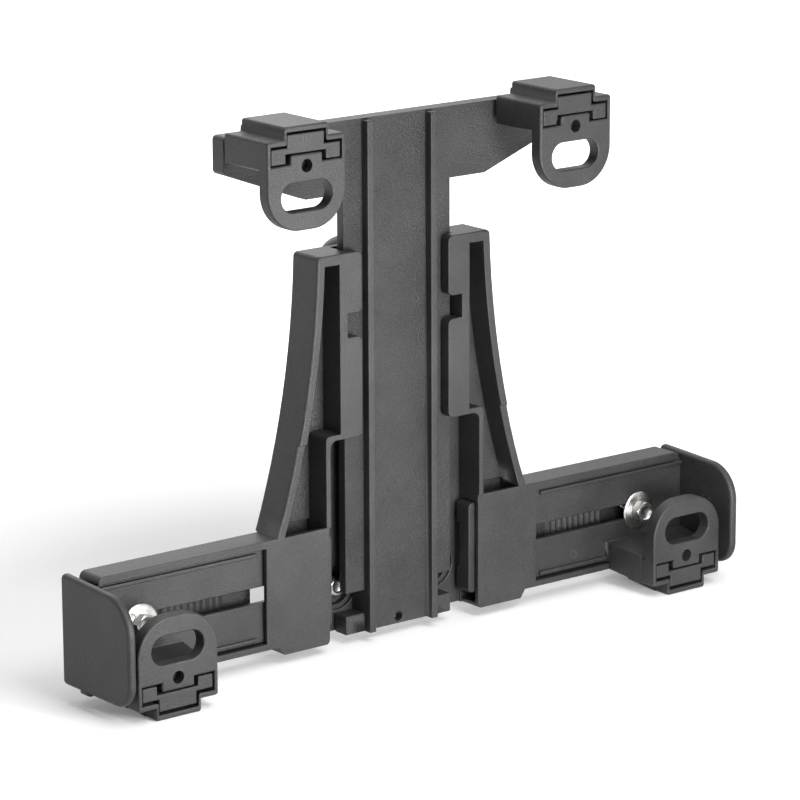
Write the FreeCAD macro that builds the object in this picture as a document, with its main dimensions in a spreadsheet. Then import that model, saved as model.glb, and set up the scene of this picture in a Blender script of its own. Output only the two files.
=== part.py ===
import FreeCAD, Part
import Sketcher
import math
import os

# Adjustable tablet holder: a moulded frame with two curved towers, a sliding centre column
# with a T-bar, two side arms in a crossbar channel, and four hooks that slide on stepped posts.
# Frame of the model: X to the right as seen from the tablet side, Y towards the back, Z up.
# The origin lies on the ground plane, in the middle of the holder's width and depth.

document = FreeCAD.newDocument("TabletHolder")

# Driving sizes in millimetres
SIZES = {
    # Places of the main planes
    "column_face_y": -4.7,
    "frame_foot_z": 3.2,
    "slide_clearance": 0.3,
    "seat_gap": 0.1,
    # Towers of the frame
    "tower_height": 128.4,
    "tower_top_half": 35.3,
    "tower_foot_half": 51.6,
    "tower_flare_radius": 300.0,
    "guide_proud": 4.3,
    "back_wall_y": 6.6,
    "back_wall": 2.2,
    "rim_wall": 3.1,
    "rim_step": 68.2,
    "guide_edge_half": 17.7,
    "guide_side_wall": 4.5,
    "pocket_top_wall": 3.5,
    "pocket_floor_y": 5.0,
    "pocket_floor_foot": 40.7,
    "window_half": 30.7,
    "window_top": 67.7,
    "window_wall": 1.9,
    "notch_foot": 100.8,
    "notch_height": 7.7,
    "notch_depth": 5.7,
    "guide_corner_radius": 2.0,
    "window_corner_radius": 2.6,
    "window_wall_radius": 1.8,
    "tower_corner_radius": 1.6,
    # Crossbar and base of the frame
    "plate_proud": 3.5,
    "base_plate": 1.8,
    "base_inner_half": 30.9,
    "base_outer_half": 56.15,
    "base_foot_half": 49.3,
    "crossbar_half": 120.3,
    "crossbar_foot": 2.9,
    "crossbar_height": 36.3,
    "crossbar_top_wall": 2.7,
    "crossbar_floor_wall": 2.0,
    "crossbar_back_y": 5.4,
    "crossbar_back_wall": 1.8,
    "centre_wall_half": 30.5,
    "centre_wall_foot": 0.3,
    "rear_bar_y": 6.4,
    "rear_bar_half": 51.0,
    "high_bar_foot": 34.5,
    "low_bar_top": 6.5,
    "base_corner_radius": 1.6,
    "crossbar_corner_radius": 2.2,
    # Rack on the back wall of the crossbar
    "rack_start": 67.4,
    "rack_pitch": 2.5,
    "rack_teeth": 10,
    "rack_tooth_height": 1.0,
    "rack_half_height": 7.0,
    "rack_gap": 0.5,
    # Column and T-bar
    "column_half": 21.84,
    "column_plate": 3.5,
    "column_foot": 0.2,
    "flange_foot": 14.2,
    "foot_block_height": 6.3,
    "foot_block_depth": 6.0,
    "rib_inner_half": 11.58,
    "rib_width": 2.65,
    "rib_height": 3.0,
    "rib_top_gap": 0.6,
    "tbar_top": 170.0,
    "tbar_depth": 6.0,
    "tbar_half": 68.1,
    "tbar_end_height": 11.8,
    "tbar_knee_half": 36.3,
    "tbar_knee_height": 23.6,
    "tbar_corner_radius": 1.5,
    "column_hole_radius": 1.5,
    "column_hole_z": 2.6,
    # Side arms
    "arm_face_y": -1.4,
    "arm_wall": 2.0,
    "arm_inner_half": 28.5,
    "arm_corner_radius": 1.8,
    "slot_height": 5.2,
    "slot_middle": 21.2,
    "slot_start": 46.0,
    "slot_end": 108.0,
    "bead_start": 59.0,
    "bead_height": 1.4,
    "bead_proud": 1.0,
    "bead_edge_gap": 0.7,
    "end_plate_inner": 122.8,
    "end_plate_wall": 3.0,
    "end_plate_back_y": 9.4,
    "end_plate_front_y": -27.5,
    "end_plate_foot": 3.0,
    "end_plate_top": 38.9,
    "end_plate_slope": 1.6,
    "end_plate_top_radius": 12.0,
    "end_plate_low_radius": 8.0,
    "end_plate_back_radius": 1.6,
    "end_foot_y": -2.2,
    "end_foot_width": 5.0,
    "end_foot_drop": 1.0,
    # Hooks, in their own frame: shoulder at height 0, front face at depth 0
    "hook_half": 15.0,
    "hook_block_half": 8.5,
    "hook_block_rise": 4.0,
    "hook_sleeve_height": 9.5,
    "hook_drop": 28.8,
    "hook_plate": 4.5,
    "hook_corner_radius": 12.5,
    "hook_wall": 1.8,
    "hook_side_wall": 1.4,
    "hook_block_wall": 1.0,
    "hook_floor_wall": 1.7,
    "hook_tongue_half": 6.1,
    "hook_tongue_rise": 2.9,
    "hook_slot_length": 19.5,
    "hook_slot_height": 9.2,
    "hook_slot_drop": 18.2,
    "hook_hole_radius": 2.05,
    "hook_hole_drop": 8.7,
    "hook_hole_depth": 3.9,
    "hook_reach": 24.4,
    "top_hook_x": 54.2,
    "top_hook_z": 171.8,
    "top_sleeve_gap": 2.2,
    "low_hook_x": 105.4,
    "low_hook_z": 0.8,
    "low_sleeve": 6.2,
    "hook_lean": 0.35,
    # Posts in the hooks
    "post_side_gap": 0.45,
    "post_inward_gap": 0.4,
    "top_post_gap": 0.7,
    "low_post_gap": 1.1,
    "post_tongue_gap": 1.6,
    # Brackets on the arms that carry the posts of the lower hooks
    "bracket_half": 16.8,
    "bracket_rise": 2.1,
    "bracket_block_rise": 1.2,
    # Fasteners
    "clamp_x": 103.6,
    "clamp_drop": 0.5,
    "clamp_shank_radius": 2.0,
    "clamp_hole_gap": 0.2,
    "clamp_head_flats": 7.0,
    "clamp_head_height": 2.8,
    "washer_radius": 6.7,
    "washer_wall": 1.2,
    "nut_flats": 7.0,
    "nut_height": 3.2,
    "thread_stick_out": 1.5,
    "screw_x": 20.2,
    "screw_z": 14.8,
    "screw_rim_radius": 7.4,
    "screw_rim_depth": 1.0,
    "screw_cup_radius": 6.0,
    "screw_cup_wall": 1.5,
    "screw_cup_depth": 3.2,
    "screw_cup_floor": 1.8,
    "screw_flange_radius": 4.1,
    "screw_flange_wall": 1.0,
    "screw_head_flats": 5.5,
    "screw_head_height": 2.4,
    "screw_nut_height": 2.4,
    "screw_shank_radius": 1.5,
    "screw_hole_gap": 0.2,
    # Ball behind the frame
    "ball_radius": 8.5,
    "ball_drop": 11.1,
    "ball_reach": 19.6,
    "ball_flange_radius": 10.4,
    "ball_flange_wall": 3.0,
    "ball_neck_radius": 4.6,
    "ball_screw_radius": 2.4,
    "ball_screw_head_radius": 4.4,
    "ball_screw_head_height": 1.8,
    "ball_screw_length": 12.0,
    "edge_softening": 1.0,
    "cut_overshoot": 1.0,
}

sheet = document.addObject("Spreadsheet::Sheet", "Sizes")
for row, (alias, number) in enumerate(SIZES.items(), start=1):
    sheet.set(f"A{row}", alias)
    sheet.set(f"B{row}", str(number))
    sheet.setAlias(f"B{row}", alias)
document.recompute()


class Size:
    """A length that knows its number and the sheet formula behind it."""

    def __init__(self, number, formula):
        self.number = float(number)
        self.formula = formula

    @staticmethod
    def of(other):
        return other if isinstance(other, Size) else Size(other, str(other))

    def __add__(self, other):
        other = Size.of(other)
        return Size(self.number + other.number, f"({self.formula} + {other.formula})")

    def __sub__(self, other):
        other = Size.of(other)
        return Size(self.number - other.number, f"({self.formula} - {other.formula})")

    def __mul__(self, other):
        other = Size.of(other)
        return Size(self.number * other.number, f"({self.formula} * {other.formula})")

    def __truediv__(self, other):
        other = Size.of(other)
        return Size(self.number / other.number, f"({self.formula} / {other.formula})")

    def __neg__(self):
        return Size(-self.number, f"(0 - {self.formula})")

    __radd__ = __add__
    __rmul__ = __mul__


class Sizes:
    """Gives each alias of the sheet as a Size."""

    def __getattr__(self, alias):
        return Size(sheet.get(alias), f"Sizes.{alias}")


size = Sizes()
parts = []


def bind(target, path, value):
    """Binds a property of an object to a formula of the sheet."""
    target.setExpression(path, Size.of(value).formula)


def new_body(label):
    """Starts one moulding or fastener of its own."""
    body = document.addObject("PartDesign::Body", label)
    body.Label = label
    parts.append(body)
    return body


def plane_sketch(body, name, role, offset):
    """Sketch on one of the body's origin planes, moved along the plane's normal."""
    sketch = body.newObject("Sketcher::SketchObject", name)
    plane = [item for item in body.Origin.OriginFeatures if item.Role == role][0]
    sketch.AttachmentSupport = [(plane, "")]
    sketch.MapMode = "FlatFace"
    bind(sketch, "AttachmentOffset.Base.z", offset)
    return sketch


def front_sketch(body, name, depth):
    """Sketch that faces the front, at a depth given along Y."""
    return plane_sketch(body, name, "XZ_Plane", -depth)


def side_sketch(body, name, across):
    """Sketch that faces sideways, at a place given along X."""
    return plane_sketch(body, name, "YZ_Plane", across)


def fix_point(sketch, geometry, end, across, up):
    """Ties a point of a sketch to its place."""
    for kind, value in (("DistanceX", across), ("DistanceY", up)):
        value = Size.of(value)
        index = sketch.addConstraint(Sketcher.Constraint(kind, -1, 1, geometry, end, value.number))
        bind(sketch, f"Constraints[{index}]", value)


def outline(sketch, corners):
    """Closed outline with straight sides; an arc's radius may follow a corner as a third item."""
    count = len(corners)
    first = sketch.GeometryCount
    for index, corner in enumerate(corners):
        following = corners[(index + 1) % count]
        start = FreeCAD.Vector(Size.of(corner[0]).number, Size.of(corner[1]).number, 0)
        end = FreeCAD.Vector(Size.of(following[0]).number, Size.of(following[1]).number, 0)
        if len(corner) == 2:
            sketch.addGeometry(Part.LineSegment(start, end), False)
        else:
            sketch.addGeometry(arc_between(start, end, Size.of(corner[2]).number), False)
    for index, corner in enumerate(corners):
        here = first + index
        there = first + (index + 1) % count
        leaving = end_codes(corner)[1]
        arriving = end_codes(corners[(index + 1) % count])[0]
        sketch.addConstraint(Sketcher.Constraint("Coincident", here, leaving, there, arriving))
        fix_point(sketch, here, end_codes(corner)[0], corner[0], corner[1])
        if len(corner) == 3:
            radius = Size.of(corner[2])
            constraint = Sketcher.Constraint("Radius", here, abs(radius.number))
            index_of = sketch.addConstraint(constraint)
            magnitude = radius if radius.number > 0 else -radius
            bind(sketch, f"Constraints[{index_of}]", magnitude)


def end_codes(corner):
    """Start and end codes of a side: an arc that turns clockwise is stored from its end."""
    clockwise = len(corner) == 3 and Size.of(corner[2]).number < 0
    return (2, 1) if clockwise else (1, 2)


def arc_between(start, end, radius):
    """Arc from start to end: a positive radius bulges to the right of the way, a negative one left."""
    chord = end - start
    middle = (start + end) * 0.5
    normal = FreeCAD.Vector(-chord.y, chord.x, 0).normalize()
    reach = math.sqrt(radius * radius - chord.Length * chord.Length / 4)
    centre = middle + normal * math.copysign(reach, radius)
    circle = Part.Circle(centre, FreeCAD.Vector(0, 0, 1), abs(radius))
    if radius < 0:
        start, end = end, start
    begin = math.atan2(start.y - centre.y, start.x - centre.x)
    finish = math.atan2(end.y - centre.y, end.x - centre.x)
    return Part.ArcOfCircle(circle, begin, finish)


def mirrored(corners):
    """The same outline on the other side of the middle plane."""
    turned = []
    count = len(corners)
    for index in range(count):
        corner = corners[-index % count]
        before = corners[(-index - 1) % count]
        point = (-Size.of(corner[0]), corner[1])
        turned.append(point + (before[2],) if len(before) == 3 else point)
    return turned


def rectangle(left, right, low, high):
    """Corners of an upright rectangle."""
    return [(left, low), (right, low), (right, high), (left, high)]


def circle(sketch, across, up, radius):
    """Circle tied by its middle and radius."""
    middle = FreeCAD.Vector(Size.of(across).number, Size.of(up).number, 0)
    index = sketch.addGeometry(Part.Circle(middle, FreeCAD.Vector(0, 0, 1), Size.of(radius).number), False)
    fix_point(sketch, index, 3, across, up)
    constraint = sketch.addConstraint(Sketcher.Constraint("Radius", index, Size.of(radius).number))
    bind(sketch, f"Constraints[{constraint}]", radius)


def rounded_slot(sketch, left, right, up, radius):
    """Slot with round ends between two middles at the same height."""
    middles = [FreeCAD.Vector(Size.of(across).number, Size.of(up).number, 0) for across in (left, right)]
    reach = Size.of(radius).number
    rise = FreeCAD.Vector(0, reach, 0)
    normal = FreeCAD.Vector(0, 0, 1)
    turn = math.pi / 2
    ends = [
        Part.ArcOfCircle(Part.Circle(middles[0], normal, reach), turn, 3 * turn),
        Part.ArcOfCircle(Part.Circle(middles[1], normal, reach), -turn, turn),
    ]
    low = Part.LineSegment(middles[0] - rise, middles[1] - rise)
    high = Part.LineSegment(middles[1] + rise, middles[0] + rise)
    first, second, floor, roof = [sketch.addGeometry(item, False) for item in (*ends, low, high)]
    for one, one_end, other, other_end in (
        (first, 2, floor, 1),
        (floor, 2, second, 1),
        (second, 2, roof, 1),
        (roof, 2, first, 1),
    ):
        sketch.addConstraint(Sketcher.Constraint("Tangent", one, one_end, other, other_end))
    sketch.addConstraint(Sketcher.Constraint("Equal", first, second))
    fix_point(sketch, first, 3, left, up)
    fix_point(sketch, second, 3, right, up)
    constraint = sketch.addConstraint(Sketcher.Constraint("Radius", first, reach))
    bind(sketch, f"Constraints[{constraint}]", radius)


def feature(body, kind, name, sketch, length, reverse=False):
    """Pad or Pocket of a sketch, with its length from the sheet."""
    item = body.newObject(f"PartDesign::{kind}", name)
    item.Profile = sketch
    item.Reversed = reverse
    bind(item, "Length", length)
    return item


def pad_back(body, name, depth, thickness, *outlines):
    """Pads outlines from a depth towards the back."""
    sketch = front_sketch(body, name + "_outline", depth)
    for corners in outlines:
        outline(sketch, corners)
    return feature(body, "Pad", name, sketch, thickness, reverse=True)


def cut_back(body, name, depth, thickness, *outlines):
    """Cuts outlines from a depth towards the back."""
    sketch = front_sketch(body, name + "_outline", depth)
    for corners in outlines:
        outline(sketch, corners)
    return feature(body, "Pocket", name, sketch, thickness)


def drill_back(body, name, depth, thickness, radius, *places):
    """Cuts round holes from a depth towards the back."""
    sketch = front_sketch(body, name + "_outline", depth)
    for across, up in places:
        circle(sketch, across, up, radius)
    return feature(body, "Pocket", name, sketch, thickness)


def both(corners):
    """An outline and its mirror image."""
    return corners, mirrored(corners)


def round_edges(body, name, radius, direction, places):
    """Fillets the edges that run along a direction through the given places."""
    document.recompute()
    along = {"X": FreeCAD.Vector(1, 0, 0), "Y": FreeCAD.Vector(0, 1, 0)}[direction]
    base = body.Tip
    shape = base.Shape
    chosen = []
    for index, edge in enumerate(shape.Edges, start=1):
        if not isinstance(edge.Curve, Part.Line):
            continue
        if edge.tangentAt(edge.FirstParameter).cross(along).Length > 1e-6:
            continue
        middle = edge.CenterOfMass
        flat = (middle.y if direction == "X" else middle.x, middle.z)
        for place in places:
            first = Size.of(place[0]).number
            second = Size.of(place[1]).number
            if math.hypot(flat[0] - first, flat[1] - second) < 0.02:
                chosen.append(f"Edge{index}")
    fillet = body.newObject("PartDesign::Fillet", name)
    fillet.Base = (base, chosen)
    bind(fillet, "Radius", radius)
    return fillet


# Planes that several mouldings share
face_y = size.column_face_y
foot_z = size.frame_foot_z
guide_y = face_y - size.guide_proud
plate_y = face_y - size.plate_proud
back_face_y = face_y + size.back_wall_y
rear_y = back_face_y + size.back_wall
channel_half = size.column_half + size.slide_clearance
crossbar_low = foot_z + size.crossbar_foot
crossbar_top = crossbar_low + size.crossbar_height
channel_low = crossbar_low + size.crossbar_floor_wall
channel_high = crossbar_top - size.crossbar_top_wall
tower_top = foot_z + size.tower_height
slot_z = foot_z + size.slot_middle
ball_z = tower_top - size.ball_drop
top_hook_z = foot_z + size.top_hook_z
low_hook_z = foot_z + size.low_hook_z
hook_front_y = face_y - size.hook_reach
top_sleeve = size.hook_reach - size.top_sleeve_gap
clamp_z = slot_z - size.clamp_drop
arm_low = channel_low + size.slide_clearance
arm_high = channel_high - size.slide_clearance
arm_face_y = face_y + size.arm_face_y
arm_back_y = face_y + size.crossbar_back_y - size.slide_clearance
crossbar_inner_y = face_y + size.crossbar_back_y
crossbar_rear_y = crossbar_inner_y + size.crossbar_back_wall
guide_outer_half = channel_half + size.guide_side_wall
flare = -size.tower_flare_radius


def stepped(middle, shoulder, turn, half, low, block_half, block):
    """Stepped outline of a hook's sleeve, from its low side up to its raised block."""
    side = [(half, low), (half, Size.of(0)), (block_half, Size.of(0)), (block_half, block)]
    corners = [(middle + across, shoulder + up * turn) for across, up in side]
    corners += [(middle - across, shoulder + up * turn) for across, up in reversed(side)]
    return corners


def hat(middle, shoulder, turn, side_gap=0, inward_gap=0, outward_gap=0, tongue_gap=0):
    """Stepped section of a hook's cavity, or of its post when the gaps are given."""
    outer = size.hook_half - size.hook_side_wall - side_gap
    raised = size.hook_block_half - size.hook_block_wall - side_gap
    leg = size.hook_tongue_half + tongue_gap
    foot = size.hook_floor_wall - size.hook_sleeve_height + inward_gap
    tongue = foot + size.hook_tongue_rise
    step = -size.hook_wall - outward_gap
    top = size.hook_block_rise - size.hook_wall - outward_gap
    half = [(leg, tongue), (leg, foot), (outer, foot), (outer, step), (raised, step), (raised, top)]
    corners = [(middle + across, shoulder + up * turn) for across, up in half]
    corners += [(middle - across, shoulder + up * turn) for across, up in reversed(half)]
    return corners


def build_frame():
    """Frame moulding: two curved towers, guides for the column, base plates and the crossbar."""
    body = new_body("frame")
    rim_foot = size.tower_foot_half - size.rim_wall
    rim_top = size.tower_top_half - size.rim_wall
    towers = [
        (-size.tower_foot_half, crossbar_top),
        (size.tower_foot_half, crossbar_top, flare),
        (size.tower_top_half, tower_top),
        (-size.tower_top_half, tower_top, flare),
    ]
    pad_back(body, "towers", guide_y, rear_y - guide_y, towers)
    wall_half = size.centre_wall_half
    centre = rectangle(-wall_half, wall_half, foot_z + size.centre_wall_foot, crossbar_top)
    pad_back(body, "centre_wall", back_face_y, size.back_wall, centre)
    bar_y = face_y + size.rear_bar_y
    high_bar_low = foot_z + size.high_bar_foot
    high_bar = rectangle(wall_half, size.rear_bar_half, high_bar_low, foot_z + size.pocket_floor_foot)
    pad_back(body, "high_bars", bar_y, rear_y - bar_y, *both(high_bar))
    low_bar_foot = foot_z + size.centre_wall_foot
    low_bar_top = foot_z + size.low_bar_top
    low_bar = [
        (wall_half, low_bar_foot),
        (size.base_foot_half, low_bar_foot),
        (size.base_foot_half, crossbar_low),
        (size.base_outer_half, crossbar_low),
        (size.base_outer_half, low_bar_top),
        (wall_half, low_bar_top),
    ]
    pad_back(body, "low_bars", crossbar_inner_y, rear_y - crossbar_inner_y, *both(low_bar))
    wall_foot = rectangle(size.window_half, size.window_half + size.window_wall, channel_high, crossbar_top)
    pad_back(body, "window_wall_feet", plate_y, rear_y - plate_y, *both(wall_foot))
    back = rectangle(size.base_outer_half, size.crossbar_half, crossbar_low, crossbar_top)
    pad_back(body, "crossbar_backs", crossbar_inner_y, size.crossbar_back_wall, *both(back))
    depth = crossbar_rear_y - plate_y
    roof = rectangle(rim_foot, size.crossbar_half, channel_high, crossbar_top)
    pad_back(body, "crossbar_tops", plate_y, depth, *both(roof))
    step_half = size.base_foot_half + size.crossbar_foot * 0.7
    corner = size.base_corner_radius
    floor = [
        (size.base_inner_half, foot_z + corner, corner),
        (size.base_inner_half + corner, foot_z),
        (size.base_foot_half, foot_z),
        (step_half, crossbar_low),
        (size.crossbar_half, crossbar_low),
        (size.crossbar_half, channel_low),
        (size.base_foot_half, channel_low),
        (size.base_foot_half - size.crossbar_foot, foot_z + size.crossbar_floor_wall),
        (size.base_inner_half, foot_z + size.crossbar_floor_wall),
    ]
    pad_back(body, "crossbar_floors", plate_y, depth, *both(floor))
    plate = [
        (size.base_inner_half, foot_z + corner, corner),
        (size.base_inner_half + corner, foot_z),
        (size.base_foot_half, foot_z),
        (step_half, crossbar_low),
        (size.base_outer_half, crossbar_low),
        (size.base_outer_half, crossbar_top),
        (size.base_inner_half, crossbar_top),
    ]
    pad_back(body, "base_plates", plate_y, size.base_plate, *both(plate))
    pad_screw_cups(body)
    cut_tower_pockets(body, rim_foot, rim_top)
    cut_frame_holes(body)
    pad_racks(body)
    round_frame(body)
    return body


def pad_screw_cups(body):
    """Round cups on the back of the centre wall that take the two lower screws."""
    depth = size.screw_cup_depth + size.screw_cup_floor - size.back_wall
    sketch = front_sketch(body, "screw_cups_outline", rear_y)
    for turn in (-1, 1):
        radius = size.screw_cup_radius + size.screw_cup_wall
        circle(sketch, size.screw_x * turn, foot_z + size.screw_z, radius)
    feature(body, "Pad", "screw_cups", sketch, depth, reverse=True)


def cut_tower_pockets(body, rim_foot, rim_top):
    """Hollows of the towers: the column's way, the windows beside it and the open pockets."""
    overshoot = size.cut_overshoot
    top = tower_top + overshoot
    way = rectangle(-size.guide_edge_half, size.guide_edge_half, crossbar_top, top)
    cut_back(body, "column_way", guide_y, back_face_y - guide_y, way)
    channel_y = face_y - size.slide_clearance
    channel = rectangle(-channel_half, channel_half, crossbar_top, top)
    cut_back(body, "column_channel", channel_y, back_face_y - channel_y, channel)
    window_top = foot_z + size.window_top
    windows = rectangle(-size.window_half, size.window_half, crossbar_top, window_top)
    cut_back(body, "windows", guide_y, back_face_y - guide_y, windows)
    wall_half = size.window_half + size.window_wall
    pocket = [
        (wall_half, crossbar_top),
        (rim_foot, crossbar_top, flare),
        (rim_top, tower_top),
        (guide_outer_half, tower_top),
        (guide_outer_half, window_top + size.window_wall),
        (wall_half, window_top + size.window_wall),
    ]
    floor_y = face_y + size.pocket_floor_y
    cut_back(body, "pockets", guide_y, floor_y - guide_y, *both(pocket))
    opening = rectangle(wall_half, rim_foot, crossbar_top, foot_z + size.pocket_floor_foot)
    cut_back(body, "floor_openings", floor_y, size.rear_bar_y - size.pocket_floor_y, *both(opening))
    shoulder = rectangle(wall_half, size.tower_foot_half + overshoot, crossbar_top, foot_z + size.rim_step)
    cut_back(body, "rim_steps", guide_y, plate_y - guide_y, *both(shoulder))
    lid_half = size.tower_top_half - size.rim_wall / 2
    lid = rectangle(guide_outer_half, lid_half, tower_top - size.pocket_top_wall, tower_top)
    pad_back(body, "pocket_lids", guide_y, floor_y - guide_y, *both(lid))
    notch_low = foot_z + size.notch_foot
    inner = size.guide_edge_half - overshoot
    outer = size.guide_edge_half + size.notch_depth
    notch = rectangle(inner, outer, notch_low, notch_low + size.notch_height)
    cut_back(body, "notches", guide_y, back_face_y - guide_y, *both(notch))


def cut_frame_holes(body):
    """Holes for the screws, the clamp bolts and the ball's screw."""
    cup_middles = [(size.screw_x * turn, foot_z + size.screw_z) for turn in (-1, 1)]
    drill_back(body, "cup_rims", back_face_y, size.screw_rim_depth, size.screw_rim_radius, *cup_middles)
    drill_back(body, "cup_hollows", back_face_y, size.screw_cup_depth, size.screw_cup_radius, *cup_middles)
    cup_floor_y = back_face_y + size.screw_cup_depth
    screw_hole = size.screw_shank_radius + size.screw_hole_gap
    drill_back(body, "screw_holes", cup_floor_y, size.screw_cup_floor, screw_hole, *cup_middles)
    clamp_middles = [(size.clamp_x * turn, clamp_z) for turn in (-1, 1)]
    clamp_hole = size.clamp_shank_radius + size.clamp_hole_gap
    drill_back(body, "clamp_holes", crossbar_inner_y, size.crossbar_back_wall, clamp_hole, *clamp_middles)
    ball_hole = size.ball_screw_radius + size.screw_hole_gap
    drill_back(body, "ball_hole", back_face_y, size.back_wall, ball_hole, (Size.of(0), ball_z))


def pad_racks(body):
    """Vertical teeth on the inside of the crossbar's back walls."""
    for side, turn in (("left", -1), ("right", 1)):
        sketch = plane_sketch(body, f"{side}_tooth_outline", "XY_Plane", slot_z - size.rack_half_height)
        start = size.rack_start * turn
        step = size.rack_pitch * turn
        tip_y = crossbar_inner_y - size.rack_tooth_height
        tip = (start + step / 2, tip_y)
        outline(sketch, [(start, crossbar_inner_y), (start + step, crossbar_inner_y), tip])
        tooth = feature(body, "Pad", f"{side}_tooth", sketch, size.rack_half_height * 2)
        document.recompute()
        pattern = body.newObject("PartDesign::LinearPattern", f"{side}_rack")
        pattern.Originals = [tooth]
        pattern.Direction = (sketch, ["H_Axis"])
        pattern.Reversed = turn < 0
        bind(pattern, "Length", size.rack_pitch * (size.rack_teeth - 1))
        bind(pattern, "Occurrences", size.rack_teeth)
        body.Tip = pattern


def round_frame(body):
    """Rounds the corners of the frame that show."""
    notch_low = foot_z + size.notch_foot
    window_top = foot_z + size.window_top
    guide_heights = (tower_top, window_top, notch_low, notch_low + size.notch_height)
    guide_corners = [(size.guide_edge_half * turn, height) for turn in (-1, 1) for height in guide_heights]
    round_edges(body, "guide_corners", size.guide_corner_radius, "Y", guide_corners)
    window_corners = [(size.window_half * turn, window_top) for turn in (-1, 1)]
    round_edges(body, "window_corners", size.window_corner_radius, "Y", window_corners)
    wall_half = size.window_half + size.window_wall
    wall_corners = [(wall_half * turn, window_top + size.window_wall) for turn in (-1, 1)]
    round_edges(body, "window_wall_corners", size.window_wall_radius, "Y", wall_corners)
    tower_corners = [(size.tower_top_half * turn, tower_top) for turn in (-1, 1)]
    round_edges(body, "tower_corners", size.tower_corner_radius, "Y", tower_corners)
    heights = (crossbar_low, crossbar_top)
    ends = [(size.crossbar_half * turn, height) for turn in (-1, 1) for height in heights]
    round_edges(body, "crossbar_corners", size.crossbar_corner_radius, "Y", ends)


def build_column():
    """Column moulding: T-bar with two stepped posts, ribbed strip and foot blocks."""
    body = new_body("column")
    top = foot_z + size.tbar_top
    knee = top - size.tbar_knee_height
    end = top - size.tbar_end_height
    tbar = [
        (-size.tbar_half, top),
        (-size.tbar_half, end),
        (-size.tbar_knee_half, knee),
        (size.tbar_knee_half, knee),
        (size.tbar_half, end),
        (size.tbar_half, top),
    ]
    pad_back(body, "tbar", face_y, size.tbar_depth, tbar)
    flange_low = foot_z + size.flange_foot
    column_low = foot_z + size.column_foot
    rib_outer = size.rib_inner_half + size.rib_width
    block_top = column_low + size.foot_block_height
    plate = [
        (-rib_outer, column_low),
        (rib_outer, column_low),
        (rib_outer, flange_low),
        (size.column_half, flange_low),
        (size.column_half, knee),
        (-size.column_half, knee),
        (-size.column_half, flange_low),
        (-rib_outer, flange_low),
    ]
    pad_back(body, "column_plate", face_y, size.column_plate, plate)
    block = rectangle(rib_outer, size.column_half, column_low, block_top)
    pad_back(body, "foot_blocks", face_y, size.foot_block_depth, *both(block))
    rib = rectangle(size.rib_inner_half, rib_outer, column_low, top - size.rib_top_gap)
    pad_back(body, "ribs", face_y - size.rib_height, size.rib_height, *both(rib))
    rail = rectangle(size.rib_inner_half, rib_outer, column_low, knee)
    rail_y = face_y + size.column_plate
    pad_back(body, "back_rails", rail_y, back_face_y - size.slide_clearance - rail_y, *both(rail))
    tbar_corners = [(size.tbar_half * turn, height) for turn in (-1, 1) for height in (end, top)]
    round_edges(body, "tbar_corners", size.tbar_corner_radius, "Y", tbar_corners)
    posts = [post_section(size.top_hook_x * turn, top_hook_z, 1, size.top_post_gap) for turn in (-1, 1)]
    pad_back(body, "posts", hook_front_y, size.hook_reach, *posts)
    hole_z = foot_z + size.column_hole_z
    drill_back(body, "foot_hole", face_y, size.column_plate, size.column_hole_radius, (Size.of(0), hole_z))
    return body


def post_section(middle, shoulder, turn, outward_gap):
    """Section of a post: the hook's cavity less its running gaps, with the hook leaning aside."""
    gaps = (size.post_side_gap, size.post_inward_gap, outward_gap, size.post_tongue_gap)
    return hat(middle - size.hook_lean, shoulder, turn, *gaps)


def build_arm(label, turn):
    """Side arm moulding: slotted channel slide, end plate and the post of the lower hook."""
    body = new_body(label)
    inner = size.arm_inner_half * turn
    outer = size.end_plate_inner * turn
    slide = rectangle(inner, outer, arm_low, arm_high)
    pad_back(body, f"{label}_slide", arm_face_y, arm_back_y - arm_face_y, slide)
    wall = size.arm_wall
    hollow = rectangle(inner + wall * turn, outer, arm_low + wall, arm_high - wall)
    cut_back(body, f"{label}_hollow", arm_face_y + wall, arm_back_y - arm_face_y, hollow)
    notch_half = size.rack_half_height + size.rack_gap
    notch_y = crossbar_inner_y - size.rack_tooth_height - size.rack_gap
    past = inner - size.cut_overshoot * turn
    deep = inner + (wall + size.cut_overshoot) * turn
    notch = rectangle(past, deep, slot_z - notch_half, slot_z + notch_half)
    cut_back(body, f"{label}_rack_notch", notch_y, arm_back_y - notch_y, notch)
    pad_end_plate(body, label, turn)
    sketch = front_sketch(body, f"{label}_slot_outline", arm_face_y)
    radius = size.slot_height / 2
    ends = [(size.slot_start + radius) * turn, (size.slot_end - radius) * turn]
    ends.sort(key=lambda end: end.number)
    rounded_slot(sketch, ends[0], ends[1], slot_z, radius)
    feature(body, "Pocket", f"{label}_slot", sketch, wall)
    bead_gap = size.bead_edge_gap
    beads = []
    for low in (arm_low + bead_gap, arm_high - bead_gap - size.bead_height):
        beads.append(rectangle(size.bead_start * turn, outer, low, low + size.bead_height))
    pad_back(body, f"{label}_beads", arm_face_y - size.bead_proud, size.bead_proud, *beads)
    pad_bracket(body, label, size.low_hook_x * turn)
    corners = [(inner, arm_low), (inner, arm_high)]
    round_edges(body, f"{label}_corners", size.arm_corner_radius, "Y", corners)
    return body


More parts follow.
